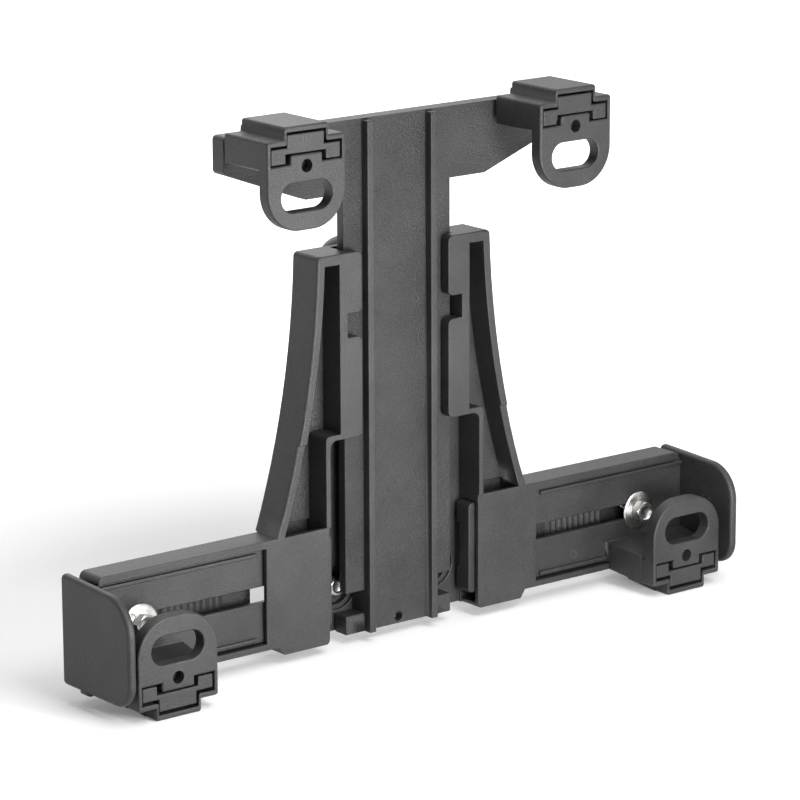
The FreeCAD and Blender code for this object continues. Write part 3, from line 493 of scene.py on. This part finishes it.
class HOLDER_OT_fasteners(bpy.types.Operator):
    """Makes the screws, washers and nuts with chamfers, threads and zinc plate"""

    bl_idname = "holder.fasteners"
    bl_label = "Fasteners"

    def execute(self, context):
        self.settings = context.scene.holder_steel
        self.steel = steel_material(self.settings)
        for side in SIDES:
            self.add_clamp(side)
            self.add_cup_screw(side)
        self.add_ball_screw()
        return {"FINISHED"}

    def finish(self, bm, node):
        """Puts a fastener where its CAD node is and replaces that node."""
        low, high = (Vector(corner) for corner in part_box(node))
        bmesh.ops.translate(bm, verts=bm.verts, vec=((low.x + high.x) / 2, 0, (low.z + high.z) / 2))
        close_up(bm)
        sharp = math.radians(25)
        for face in bm.faces:
            face.smooth = True
        for edge in bm.edges:
            edge.smooth = not edge.is_manifold or edge.calc_face_angle() < sharp
        piece = piece_from(f"{node}_plated", bm, self.steel, "frame")
        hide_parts(node)

    def depths(self, node):
        """Nearest and farthest depth of a node."""
        low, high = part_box(node)
        return low[1], high[1]

    def hex_part(self, bm, flats, height, base_y, bore=0.0, dish=0.0):
        """Hexagonal block in front of a depth."""
        block = bmesh.new()
        hex_block(block, flats, height, self.settings.head_turn, bore, dish)
        stand_forward(block)
        bmesh.ops.translate(block, verts=block.verts, vec=(0, base_y, 0))
        mesh = bpy.data.meshes.new("block")
        block.to_mesh(mesh)
        block.free()
        bm.from_mesh(mesh)
        bpy.data.meshes.remove(mesh)

    def add_clamp(self, side):
        """Hex bolt with its conical washer in front and its nut behind the crossbar."""
        head_height, flats, shank = 2.8 * MM, 7.0 * MM, 2.0 * MM
        front, back = self.depths(f"{side}_clamp_bolt")
        bm = bmesh.new()
        seat = front + head_height
        self.hex_part(bm, flats, head_height, seat, dish=0.7 * MM)
        under = seat - 0.1 * MM
        turned_about(bm, [(0, under), (shank, under)] + thread_rings(shank, seat + 1.3 * MM, back, self.settings.thread_pitch))
        self.finish(bm, f"{side}_clamp_bolt")
        front, back = self.depths(f"{side}_clamp_washer")
        bm = bmesh.new()
        bore, rim = 2.1 * MM, 6.7 * MM
        turned_about(bm, [
            (bore, back), (bore, front + 0.1 * MM), (bore + 0.1 * MM, front), (3.9 * MM, front),
            (4.2 * MM, front + 0.12 * MM), (rim - 1.0 * MM, front + 0.45 * MM), (rim - 0.45 * MM, front + 0.62 * MM),
            (rim - 0.12 * MM, front + 0.86 * MM), (rim, back - 0.15 * MM), (rim - 0.1 * MM, back)], 64)
        self.finish(bm, f"{side}_clamp_washer")
        self.add_nut(f"{side}_clamp_nut", flats, 2.1 * MM)

    def add_nut(self, node, flats, bore):
        """Chamfered hexagonal nut."""
        front, back = self.depths(node)
        bm = bmesh.new()
        self.hex_part(bm, flats, back - front, back, bore=bore)
        self.finish(bm, node)

    def add_cup_screw(self, side):
        """Small hex flange screw in its cup."""
        node = f"{side}_cup_screw"
        head_height, flange_wall, flats = 2.4 * MM, 1.0 * MM, 5.5 * MM
        flange, shank = 4.1 * MM, 1.5 * MM
        front, back = self.depths(node)
        seat = front + head_height
        bm = bmesh.new()
        self.hex_part(bm, flats, head_height, seat + 0.1 * MM, dish=0.5 * MM)
        under = seat + flange_wall
        turned_about(bm, [
            (0, seat), (flats / 2, seat), (flange - 0.3 * MM, seat + 0.35 * MM), (flange, seat + 0.65 * MM),
            (flange - 0.05 * MM, under), (shank, under)] + thread_rings(shank, under + 1 * MM, back, self.settings.thread_pitch * 0.7))
        self.finish(bm, node)
        self.add_nut(f"{node}_nut", flats, 1.6 * MM)

    def add_ball_screw(self):
        """Round-headed screw that holds the ball from inside the column's channel."""
        node = "ball_screw"
        front, back = self.depths(node)
        low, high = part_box(node)
        head, height, shank = (high[0] - low[0]) / 2, 1.8 * MM, 2.4 * MM
        socket = 1.3 * MM
        bm = bmesh.new()
        turned_about(bm, [
            (0, front + 1.0 * MM), (socket, front + 0.9 * MM), (socket, front + 0.05 * MM), (socket + 0.2 * MM, front),
            (head * 0.7, front + 0.12 * MM), (head - 0.25 * MM, front + 0.6 * MM), (head, front + 1.2 * MM),
            (head - 0.05 * MM, front + height), (shank, front + height)]
            + thread_rings(shank, front + height + 1 * MM, back, self.settings.thread_pitch))
        self.finish(bm, node)


class HOLDER_OT_ball(bpy.types.Operator):
    """Gives the ball behind the frame its smooth moulded skin and a parting line"""

    bl_idname = "holder.ball"
    bl_label = "Ball"

    def execute(self, context):
        settings = context.scene.holder_moulding
        self.settings = settings
        skin = moulding_material(settings, "ball_moulding", settings.grain_size * 1.4, 0.03 * MM, 0.12)
        bm = merged_copy("ball_mount")
        widest = MM
        weigh_edges(bm, widest, lambda edge: settings.edge_round if edge.is_convex else 0)
        piece = piece_from("ball_moulding", bm, skin, "frame")
        round_edges(piece, widest, 3)
        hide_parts("ball_mount")
        return {"FINISHED"}


class HOLDER_OT_marks(bpy.types.Operator):
    """Adds the faint round marks of the ejector pins"""

    bl_idname = "holder.marks"
    bl_label = "Ejector marks"

    def execute(self, context):
        self.settings = context.scene.holder_mark
        self.skin = bpy.data.materials["black_moulding"]
        column = [(-7.3, 111.8), (7.3, 111.8), (-7.0, 49.2), (7.0, 49.2), (17.4, 144.4), (-17.4, 144.4)]
        posts = [(-64.8, 169.9), (-44.2, 169.95), (44.9, 169.9), (63.6, 170.4)]
        self.add_wall_lips()
        self.add_marks("column", -4.7 * MM, column)
        self.add_marks("column", -29.1 * MM, posts, "post")
        for side, way in (("left", -1), ("right", 1)):
            self.add_marks(f"{side}_arm", -6.1 * MM, [(way * 75.6, 34.3), (way * 74.4, 13.5)])
        return {"FINISHED"}

    def add_wall_lips(self):
        """Low lips along the edges of the frame's centre wall, which close the view past the arms' ends."""
        width, height, length = 0.7 * MM, 0.75 * MM, 20 * MM
        bm = bmesh.new()
        for way in (-1, 1):
            made = bmesh.ops.create_cube(bm, size=1)
            bmesh.ops.scale(bm, verts=made["verts"], vec=(width, height, length))
            bmesh.ops.translate(bm, verts=made["verts"], vec=(way * 30.12 * MM, 1.63 * MM, 25.2 * MM))
        edges = [edge for edge in bm.edges]
        bmesh.ops.bevel(bm, geom=edges, offset=0.15 * MM, segments=2, profile=0.5, affect="EDGES")
        piece_from("frame_wall_lips", bm, self.skin, "frame")

    def add_marks(self, node, surface, places, kind="face"):
        """Low rings that stand on a front face."""
        radius, proud = self.settings.radius, self.settings.proud
        inner = radius - 0.3 * MM
        bm = bmesh.new()
        for across, up in places:
            made = bmesh.new()
            turned_about(made, [
                (inner, surface + proud), (radius, surface + proud), (radius, surface - proud * 0.3),
                ((radius + inner) / 2, surface - proud), (inner, surface - proud * 0.3)], 32)
            bmesh.ops.translate(made, verts=made.verts, vec=(across * MM, 0, up * MM))
            close_up(made)
            mesh = bpy.data.meshes.new("mark")
            made.to_mesh(mesh)
            made.free()
            bm.from_mesh(mesh)
            bpy.data.meshes.remove(mesh)
        for face in bm.faces:
            face.smooth = True
        piece_from(f"{node}_{kind}_marks", bm, self.skin, node)


class HOLDER_OT_studio(bpy.types.Operator):
    """Builds the floor, the lamps, the white surroundings and the camera"""

    bl_idname = "holder.studio"
    bl_label = "Studio"

    def execute(self, context):
        settings = context.scene.holder_studio
        self.add_floor(settings)
        self.add_world(context, settings)
        self.add_lamp("over_lamp", (0.0, -0.1, 1.2), 1.0, 7.2)
        self.add_lamp("front_lamp", (-0.05, -0.5, 0.6), 0.3, 2.2)
        self.add_lamp("low_lamp", (0.03, -0.35, 0.06), 0.15, 1.5)
        self.add_lamp("left_lamp", (-0.05, -0.32, 0.1), 0.15, 0.6)
        self.add_lamp("rear_lamp", (0.3, 0.9, 0.6), 0.8, 2.6)
        self.add_camera(context, settings)
        context.scene.view_settings.view_transform = "Standard"
        return {"FINISHED"}

    def add_floor(self, settings):
        """Pale floor that shows as white to the camera and keeps the shadow."""
        bm = bmesh.new()
        bmesh.ops.create_grid(bm, x_segments=1, y_segments=1, size=4)
        mesh = bpy.data.meshes.new("floor")
        bm.to_mesh(mesh)
        bm.free()
        floor = bpy.data.objects.new("floor", mesh)
        bpy.context.scene.collection.objects.link(floor)
        material, tree, shader = new_material("floor_paper")
        shader.inputs["Base Color"].default_value = (*settings.floor_colour, 1)
        shader.inputs["Roughness"].default_value = 0.9
        shader.inputs["Emission Color"].default_value = (1, 1, 1, 1)
        lifted = tree.nodes.new("ShaderNodeMath")
        lifted.operation = "MULTIPLY"
        tree.links.new(self.seen_plainly(tree), lifted.inputs[0])
        tree.links.new(self.whiter_far_off(tree, settings.floor_lift), lifted.inputs[1])
        tree.links.new(lifted.outputs["Value"], shader.inputs["Emission Strength"])
        mesh.materials.append(material)

    def whiter_far_off(self, tree, lift):
        """The floor's lift near the holder, and full white where its shadow ends."""
        place = tree.nodes.new("ShaderNodeTexCoord")
        reach = tree.nodes.new("ShaderNodeVectorMath")
        reach.operation = "LENGTH"
        tree.links.new(place.outputs["Object"], reach.inputs[0])
        return spread(tree, reach.outputs["Value"], lift, 1.0, 0.14, 0.4)

    def seen_plainly(self, tree):
        """One for rays from the camera, from gloss and from glass, nought for others."""
        path = tree.nodes.new("ShaderNodeLightPath")
        value = path.outputs["Is Camera Ray"]
        for kind in ("Is Glossy Ray", "Is Transmission Ray"):
            larger = tree.nodes.new("ShaderNodeMath")
            larger.operation = "MAXIMUM"
            tree.links.new(value, larger.inputs[0])
            tree.links.new(path.outputs[kind], larger.inputs[1])
            value = larger.outputs["Value"]
        return value

    def add_world(self, context, settings):
        """Even light that the camera and glossy surfaces see as white."""
        world = bpy.data.worlds.new("studio")
        context.scene.world = world
        world.use_nodes = True
        nodes, links = world.node_tree.nodes, world.node_tree.links
        background = nodes["Background"]
        background.inputs["Color"].default_value = (1, 1, 1, 1)
        strength = nodes.new("ShaderNodeMapRange")
        strength.inputs["To Min"].default_value = settings.surroundings
        strength.inputs["To Max"].default_value = 1.0
        links.new(self.seen_plainly(world.node_tree), strength.inputs["Value"])
        links.new(strength.outputs["Result"], background.inputs["Strength"])

    def add_lamp(self, name, place, size, power):
        """Square area lamp that points at the middle of the holder."""
        lamp = bpy.data.lights.new(name, "AREA")
        lamp.shape = "SQUARE"
        lamp.size = size
        lamp.energy = power
        item = bpy.data.objects.new(name, lamp)
        item.visible_camera = False
        item.location = place
        item.rotation_euler = (Vector((0, 0, 0.08)) - Vector(place)).to_track_quat("-Z", "Y").to_euler()
        bpy.context.scene.collection.objects.link(item)

    def add_camera(self, context, settings):
        """Camera at the photograph's place and angle."""
        azimuth, elevation = settings.azimuth, settings.elevation
        back = Vector((
            math.sin(azimuth) * math.cos(elevation),
            -math.cos(azimuth) * math.cos(elevation),
            math.sin(elevation)))
        right = (-back).cross(Vector((0, 0, 1))).normalized()
        up = right.cross(-back)
        turn, lift = math.cos(settings.roll), math.sin(settings.roll)
        across = turn * right + lift * up
        upward = turn * up - lift * right
        data = bpy.data.cameras.new("camera")
        data.sensor_width = 36
        data.lens = settings.lens
        data.clip_start, data.clip_end = 0.05, 20
        camera = bpy.data.objects.new("camera", data)
        place = Vector(settings.aim) + back * settings.distance
        turned = Matrix((across, upward, back)).transposed().to_4x4()
        camera.matrix_world = Matrix.Translation(place) @ turned
        context.scene.collection.objects.link(camera)
        context.scene.camera = camera


class HOLDER_PT_panel(bpy.types.Panel):
    """Lists the steps that build the looks of the holder"""

    bl_idname = "HOLDER_PT_panel"
    bl_label = "Tablet holder"
    bl_space_type = "VIEW_3D"
    bl_region_type = "UI"
    bl_category = "Holder"

    def draw(self, context):
        layout = self.layout
        for group in SETTINGS:
            box = layout.box()
            settings = getattr(context.scene, group)
            for name in settings.__annotations__:
                box.prop(settings, name)
        for operator in OPERATORS:
            layout.operator(operator.bl_idname)


SETTINGS = {
    "holder_moulding": MouldingSettings,
    "holder_steel": SteelSettings,
    "holder_mark": MarkSettings,
    "holder_studio": StudioSettings,
}
OPERATORS = (
    HOLDER_OT_mouldings, HOLDER_OT_fasteners, HOLDER_OT_ball, HOLDER_OT_marks, HOLDER_OT_studio)


def register():
    """Registers the classes and the scene's settings."""
    for item in (*SETTINGS.values(), *OPERATORS, HOLDER_PT_panel):
        bpy.utils.register_class(item)
    for name, group in SETTINGS.items():
        setattr(bpy.types.Scene, name, bpy.props.PointerProperty(type=group))


def unregister():
    """Removes the classes and the scene's settings."""
    for name in SETTINGS:
        delattr(bpy.types.Scene, name)
    for item in reversed((*SETTINGS.values(), *OPERATORS, HOLDER_PT_panel)):
        bpy.utils.unregister_class(item)


def main():
    """Builds the looks in order."""
    register()
    bpy.ops.holder.mouldings()
    bpy.ops.holder.fasteners()
    bpy.ops.holder.ball()
    bpy.ops.holder.marks()
    bpy.ops.holder.studio()
    bpy.context.view_layer.update()


if __name__ == "__main__":
    main()
